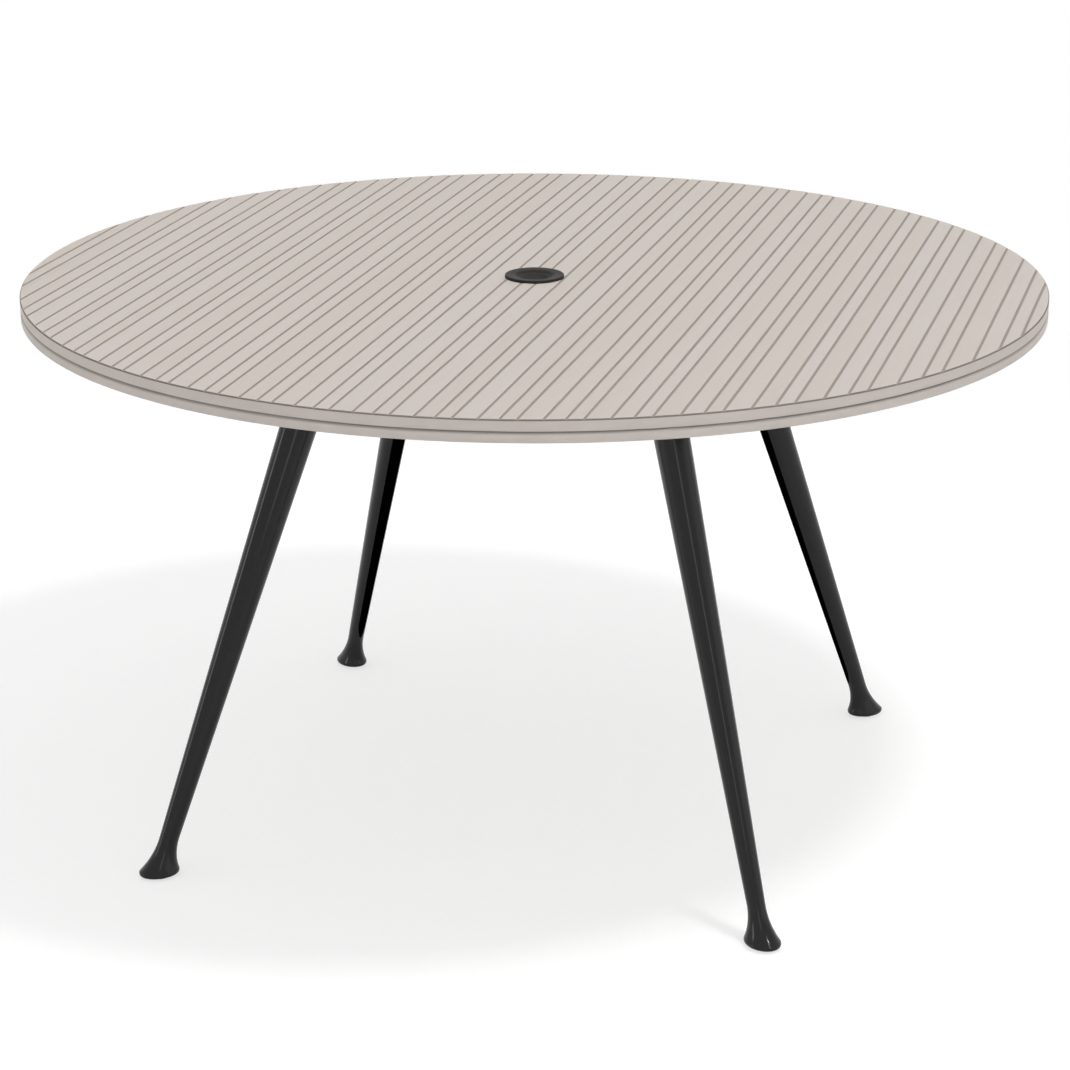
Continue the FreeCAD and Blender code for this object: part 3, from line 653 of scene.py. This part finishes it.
def stripRings():
    # a face on the cut of the leg, sides down to the seat and a back sunk a little into the leg
    rings = []
    for level in shaftLevels()[1:]:
        depth, width, axis = shaftOval(level)
        seat = seatInset(level)
        thick = between(legStrip["thickNeck"], legStrip["thickTop"], shaftShare(level))
        # near the tip the strip is half as thick as its seat is deep
        face = seat - min(thick, max(seat / 2, legStrip["thickTip"]))
        seatHalf, faceHalf = (width / 2 * math.sqrt(1 - (1 - 2 * max(inset, 0.0) / depth) ** 2)
                              for inset in (seat, face))
        faceHalf = min(faceHalf, legStrip["faceShare"] * seatHalf)
        sunkHalf = legStrip["sunkShare"] * seatHalf
        inner = axis - depth / 2
        half = [(inner + face, faceHalf), (inner + seat, seatHalf),
                (inner + seat + legStrip["sunk"], sunkHalf)]
        rings.append([(x, y, level) for x, y in half] + [(x, -y, level) for x, y in reversed(half)])
    return rings


def loftedMesh(name, rings, turn):
    # a skin over level rings, closed at both ends and turned to its corner
    sides = len(rings[0])
    cosine, sine = math.cos(math.radians(turn)), math.sin(math.radians(turn))
    points = [((x * cosine - y * sine) * mm, (x * sine + y * cosine) * mm, z * mm)
              for ring in rings for x, y, z in ring]
    faces = [tuple(range(sides)), tuple(range(len(points) - sides, len(points)))]
    for ring in range(len(rings) - 1):
        here, there = ring * sides, (ring + 1) * sides
        for side in range(sides):
            following = (side + 1) % sides
            faces.append((here + side, here + following, there + following, there + side))
    mesh = bpy.data.meshes.new(name)
    mesh.from_pydata(points, [], faces)
    finishMesh(mesh)
    return mesh


for corner, turn in cornerTurns.items():
    addPiece(loftedMesh(corner + "LegShell", legRings(), turn), "table", [corner + "_leg"],
             legCoat)
    addPiece(loftedMesh(corner + "LegStrip", stripRings(), turn), "table", [corner + "_leg_strip"],
             stripRubber)
print("legs made")

# Levelling glides: a nylon pad on a threaded stem in each foot

glide = {"place": legAxis(legForm["rimLevel"]), "axis": 0, "floor": 0, "pad": 15, "chamfer": 0.8,
         "padHigh": 3, "boss": 8, "bossHigh": 9, "hole": 4.05, "stemLow": 1.5, "ease": 0.4, "smallEase": 0.3,
         "threadPitch": 1.25, "sides": 64}
glide["padFoot"] = glide["pad"] - glide["chamfer"]
glideStem = {"coreRadius": 3.5, "coreHeight": 26.5, "coreMiddle": (0, 0, 14.75), "coreSides": 32,
             "threadRadius": 3.5, "threadHeight": 24.0, "threadFoot": (0, 0, 2.2), "threadDepth": 0.72,
             "threadSides": 4}


def stemTree(sizes, turns):
    # a plain core with a helical ridge round it
    tree, given = newTree("stemThread", sizes)
    add = partial(addNode, tree)
    rod = add("GeometryNodeMeshCylinder", {"Vertices": given["coreSides"], "Radius": given["coreRadius"],
                                           "Depth": given["coreHeight"]})
    rod = add("GeometryNodeTransform", {"Geometry": rod, "Translation": given["coreMiddle"]})
    helix = add("GeometryNodeCurveSpiral", {
        "Resolution": given["coreSides"], "Rotations": turns, "Start Radius": given["threadRadius"],
        "End Radius": given["threadRadius"], "Height": given["threadHeight"]})
    helix = add("GeometryNodeTransform", {"Geometry": helix, "Translation": given["threadFoot"]})
    ridge = add("GeometryNodeCurvePrimitiveCircle", {"Resolution": given["threadSides"],
                                                     "Radius": given["threadDepth"]})
    thread = add("GeometryNodeCurveToMesh", {"Curve": helix, "Profile Curve": ridge, "Fill Caps": True})
    stem = add("GeometryNodeJoinGeometry", {"Geometry": [rod, thread]})
    placed = add("GeometryNodeInstanceOnPoints", {"Points": given["Geometry"], "Instance": stem})
    closeTree(tree, placed, zinc)
    return tree


padOutline = easedOutline(glide, [
    ("axis", "floor"), ("padFoot", "floor", "smallEase"), ("pad", "chamfer", "smallEase"),
    ("pad", "padHigh", "ease"), ("boss", "padHigh", "smallEase"), ("boss", "bossHigh", "ease"),
    ("hole", "bossHigh", "smallEase"), ("hole", "stemLow"), ("axis", "stemLow")])
stemSizes = inMetres(glideStem)
threadTree = stemTree(stemSizes, glideStem["threadHeight"] / glide["threadPitch"])
for corner, turn in cornerTurns.items():
    x, y = (glide["place"] * part(math.radians(turn)) for part in (math.cos, math.sin))
    addPiece(turnedMesh(corner + "Pad", padOutline, glide["sides"], x, y), "glide_" + corner,
             [corner + "_glide_pad"], padNylon)
    addPiece(grownMesh(corner + "Stem", threadTree, stemSizes, pointMesh("stemPlace", [(x, y, 0)])),
             "glide_" + corner, [corner + "_glide_stem"])
print("glides made")

# Screws that show under the top, heads down

screwSets = {
    "boardScrews": {"node": "board_screws", "level": 721.5, "sizes": {
        "sides": 32, "rim": 4.0, "seat": 2.0, "headHigh": 1.9, "edge": 3.9, "edgeHigh": 0.1, "shank": 2.0,
        "shankLong": 20.0, "recessWide": 1.0, "recessLong": 4.6, "recessDeep": 1.4}},
    "bracketScrews": {"node": "bracket_screws", "level": 711.5, "sizes": {
        "sides": 32, "rim": 6.0, "seat": 6.0, "headHigh": 3.2, "edge": 5.2, "edgeHigh": 0.8, "shank": 3.0,
        "shankLong": 18.0, "recessSides": 6, "recessRadius": 2.3, "recessDeep": 2.2}},
    "railBolts": {"node": "rail_bolts", "level": 698.5, "sizes": {
        "sides": 32, "rim": 5.5, "seat": 5.5, "headHigh": 2.2, "edge": 4.6, "edgeHigh": 0.8, "shank": 3.0,
        "shankLong": 14.0, "recessSides": 6, "recessRadius": 2.3, "recessDeep": 1.8}},
}
screwLayout = {"frameCorner": 218.85, "bracketSpread": 50, "railBolt": 131.35}


def screwPlaces():
    frameCorner, railBolt = screwLayout["frameCorner"], screwLayout["railBolt"]
    spread = (screwLayout["bracketSpread"], -screwLayout["bracketSpread"])
    signs = [(sx, sy) for sx in (1, -1) for sy in (1, -1)]
    boardScrews = []
    for ring in ("outer", "inner"):
        radius, count = boardScrewRings[ring + "Radius"], boardScrewRings[ring + "Count"]
        angles = [2 * math.pi * i / count for i in range(count)]
        boardScrews += [(radius * math.cos(angle), radius * math.sin(angle)) for angle in angles]
    return {
        "boardScrews": boardScrews,
        "bracketScrews": [(sx * frameCorner + dx, sy * frameCorner + dy)
                          for sx, sy in signs for dx in spread for dy in spread],
        "railBolts": [(sx * x, sy * y) for x, y in ((railBolt, frameCorner), (frameCorner, railBolt))
                      for sx, sy in signs],
    }


def screwTree(name, sizes):
    # head with a broken edge and a driver recess, and its shank, standing on each starting point
    tree, given = newTree(name, sizes)
    add = partial(addNode, tree)
    solids = []
    level = 0.0
    for foot, top, high in (("edge", "rim", "edgeHigh"), ("rim", "seat", "headHigh"),
                            ("shank", "shank", "shankLong")):
        part = add("GeometryNodeMeshCone", {"Vertices": given["sides"], "Radius Bottom": given[foot],
                                            "Radius Top": given[top], "Depth": given[high]})
        # a cone stands on its base
        place = add("ShaderNodeCombineXYZ", {"Z": level})
        solids.append(add("GeometryNodeTransform", {"Geometry": part, "Translation": place}))
        level = add("ShaderNodeMath", {0: level, 1: given[high]}, operation="ADD")
    deep = given["recessDeep"]
    if "recessSides" in sizes:
        cutters = [add("GeometryNodeMeshCylinder", {"Vertices": given["recessSides"],
                                                    "Radius": given["recessRadius"], "Depth": deep})]
    else:
        # a cross of two slots
        wide, long = given["recessWide"], given["recessLong"]
        slots = [add("ShaderNodeCombineXYZ", {"X": x, "Y": y, "Z": deep})
                 for x, y in ((wide, long), (long, wide))]
        cutters = [add("GeometryNodeMeshCube", {"Size": slot}) for slot in slots]
    whole = add("GeometryNodeMeshBoolean", {1: solids}, operation="UNION", solver="EXACT")
    driven = add("GeometryNodeMeshBoolean", {0: whole, 1: cutters}, operation="DIFFERENCE", solver="EXACT")
    placed = add("GeometryNodeInstanceOnPoints", {"Points": given["Geometry"], "Instance": driven})
    closeTree(tree, placed, zinc)
    return tree


for name, places in screwPlaces().items():
    kind = screwSets[name]
    sizes = inMetres(kind["sizes"])
    start = pointMesh(name + "Places", [(x, y, kind["level"]) for x, y in places])
    screwMesh = grownMesh(name, screwTree(name, sizes), sizes, start)
    addPiece(screwMesh, "table", [kind["node"]])
    print(name, "made:", len(places))

# Finishes of the pieces that stay as the frame has them

nodeFinishes = {"upper_board": fibreboard, "leg_bolts": zinc, "threaded_inserts": brass,
                "glide_bushes": brass}
for corner in cornerTurns:
    nodeFinishes[corner + "_bracket"] = frameCoat
for side in ("back", "left", "front", "right"):
    nodeFinishes[side + "_rail"] = frameCoat
for node, finish in nodeFinishes.items():
    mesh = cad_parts[node].data
    for index in range(len(mesh.materials)):
        mesh.materials[index] = finish
print("frame nodes finished:", len(nodeFinishes))

# Stage: pale floor, white surroundings that are brighter overhead, one soft key light, two softboxes, and a
# card and a small lamp that only show in gloss

# bounce is how much light the floor throws back, shadowShare how far a shadow darkens it, openLight what
# falls on it unshaded; horizon and lean set the level of the surroundings and the side they brighten to
stage = {"floorSize": 60, "bounce": 0.72, "shadowShare": 0.42, "openLight": 0.78, "fadeStart": 1.7,
         "fadeEnd": 2.8, "horizon": 0.12, "lean": (0.12, -0.1, 0.72), "lampAim": (0, 0, 0.4)}
keyLight = {"place": (1.65, -0.862, 4.363), "radius": 0.3, "level": 0.33}
softboxes = {
    "leftSoftbox": {"place": (-3.83, -2.18, 0.96), "wide": 0.65, "tall": 1.6, "glow": 3.6, "lights": True},
    "frontStrip": {"place": (0.53, -2.16, 0.85), "wide": 0.22, "tall": 1.0, "glow": 1.9, "lights": True},
    "rightCard": {"place": (4.2, -0.9, 1.0), "wide": 4.0, "tall": 1.8, "glow": 0.42, "lights": False},
    "glint": {"place": (1.85, -1.48, 2.55), "wide": 0.24, "tall": 0.08, "glow": 170, "lights": False},
}


def seenDirectly(tree):
    # 1 for what the camera sees, straight, in a reflection or through glass
    path = addNode(tree, "ShaderNodeLightPath").outputs
    seen = addNode(tree, "ShaderNodeMath", {0: path["Is Camera Ray"], 1: path["Is Glossy Ray"]},
                   operation="MAXIMUM")
    return addNode(tree, "ShaderNodeMath", {0: seen, 1: path["Is Transmission Ray"]}, operation="MAXIMUM")


floorMesh = bpy.data.meshes.new("floor")
half = stage["floorSize"] / 2
floorMesh.from_pydata([(-half, -half, 0), (half, -half, 0), (half, half, 0), (-half, half, 0)], [],
                      [(0, 1, 2, 3)])
floor = bpy.data.objects.new("floor", floorMesh)
scene.collection.objects.link(floor)
# smooth white sheet: shows only the shadow, and gives the table an even bounce from below
paper, tree, spot = newMaterial("whiteFloor")
plain = addNode(tree, "ShaderNodeBsdfDiffuse", {"Color": (stage["bounce"],) * 3 + (1,)})
shadowed = addNode(tree, "ShaderNodeBsdfDiffuse", {"Color": (stage["shadowShare"],) * 3 + (1,)})
white = addNode(tree, "ShaderNodeEmission", {"Strength": 1 - stage["shadowShare"] * stage["openLight"]})
lit = addNode(tree, "ShaderNodeAddShader", {0: shadowed, 1: white})
# clear of the shadow the floor goes over to plain white, so that it meets the backdrop unseen
away = addNode(tree, "ShaderNodeVectorMath", {0: spot}, operation="LENGTH").outputs["Value"]
fade = addNode(tree, "ShaderNodeMapRange", {"Value": away, "From Min": stage["fadeStart"],
                                            "From Max": stage["fadeEnd"]}, interpolation_type="SMOOTHSTEP")
sweep = addNode(tree, "ShaderNodeEmission", {"Strength": 1.0})
shown = addNode(tree, "ShaderNodeMixShader", {0: fade, 1: lit, 2: sweep})
mixed = addNode(tree, "ShaderNodeMixShader", {0: seenDirectly(tree), 1: plain, 2: shown})
# from below the floor is clear, so that the underside of the table can be seen
below = addNode(tree, "ShaderNodeNewGeometry").outputs["Backfacing"]
clear = addNode(tree, "ShaderNodeBsdfTransparent")
oneSided = addNode(tree, "ShaderNodeMixShader", {0: below, 1: mixed, 2: clear})
addNode(tree, "ShaderNodeOutputMaterial", {"Surface": oneSided})
floorMesh.materials.append(paper)

world = bpy.data.worlds.new("studio")
scene.world = world
world.use_nodes = True
tree = world.node_tree
tree.nodes.clear()
way = addNode(tree, "ShaderNodeTexCoord").outputs["Generated"]
lean = addNode(tree, "ShaderNodeVectorMath", {0: way, 1: stage["lean"]}, operation="DOT_PRODUCT")
above = addNode(tree, "ShaderNodeMath", {0: lean.outputs["Value"], 1: 0.0}, operation="MAXIMUM")
level = addNode(tree, "ShaderNodeMath", {0: above, 1: stage["horizon"]}, operation="ADD")
fill = addNode(tree, "ShaderNodeBackground", {"Color": (1, 1, 1, 1), "Strength": level})
backdrop = addNode(tree, "ShaderNodeBackground", {"Color": (1, 1, 1, 1), "Strength": 1.0})
mixed = addNode(tree, "ShaderNodeMixShader", {0: seenDirectly(tree), 1: fill, 2: backdrop})
addNode(tree, "ShaderNodeOutputWorld", {"Surface": mixed})


def addLamp(lamp, place):
    # lamps face the middle of the table and stay out of the picture
    holder = bpy.data.objects.new(lamp.name, lamp)
    holder.location = place
    holder.rotation_euler = (Vector(stage["lampAim"]) - place).to_track_quat("-Z", "Y").to_euler()
    holder.visible_camera = False
    scene.collection.objects.link(holder)
    return holder


keyPlace = Vector(keyLight["place"])
tableLevel = plankFace["top"] * mm
lamp = bpy.data.lights.new("key", "POINT")
lamp.shadow_soft_size = keyLight["radius"]
# level is what it gives a white sheet on the table, the same over the whole top
slope = (keyPlace.z - tableLevel) / (keyPlace - Vector((0, 0, tableLevel))).length
lamp.energy = keyLight["level"] * 4 * math.pi ** 2 / slope
lamp.use_nodes = True
lamp.node_tree.nodes.clear()
steady = addNode(lamp.node_tree, "ShaderNodeLightFalloff", {"Strength": 1.0}).outputs["Constant"]
glow = addNode(lamp.node_tree, "ShaderNodeEmission", {"Strength": steady})
addNode(lamp.node_tree, "ShaderNodeOutputLight", {"Surface": glow})
addLamp(lamp, keyPlace)
for name, box in softboxes.items():
    lamp = bpy.data.lights.new(name, "AREA")
    lamp.shape = "RECTANGLE"
    lamp.size, lamp.size_y = box["wide"], box["tall"]
    lamp.energy = math.pi * box["wide"] * box["tall"] * box["glow"]
    # those that light nothing are only mirrored in the gloss of the legs
    addLamp(lamp, Vector(box["place"])).visible_diffuse = box["lights"]

# Camera: a long lens in front of the table, a little to the right, looking down at it

viewpoint = {"place": (1.0294, -3.8416, 1.7129), "target": (-0.0002, 0, 0.3825), "lens": 101.64, "sensor": 36,
             "shiftX": 0.0006, "farthest": 200}
lens = bpy.data.cameras.new("camera")
lens.lens = viewpoint["lens"]
lens.sensor_width = viewpoint["sensor"]
lens.shift_x = viewpoint["shiftX"]
lens.clip_end = viewpoint["farthest"]
camera = bpy.data.objects.new("camera", lens)
camera.location = viewpoint["place"]
camera.rotation_euler = (Vector(viewpoint["target"]) - camera.location).to_track_quat("-Z", "Y").to_euler()
scene.collection.objects.link(camera)
scene.camera = camera
print("stage set")
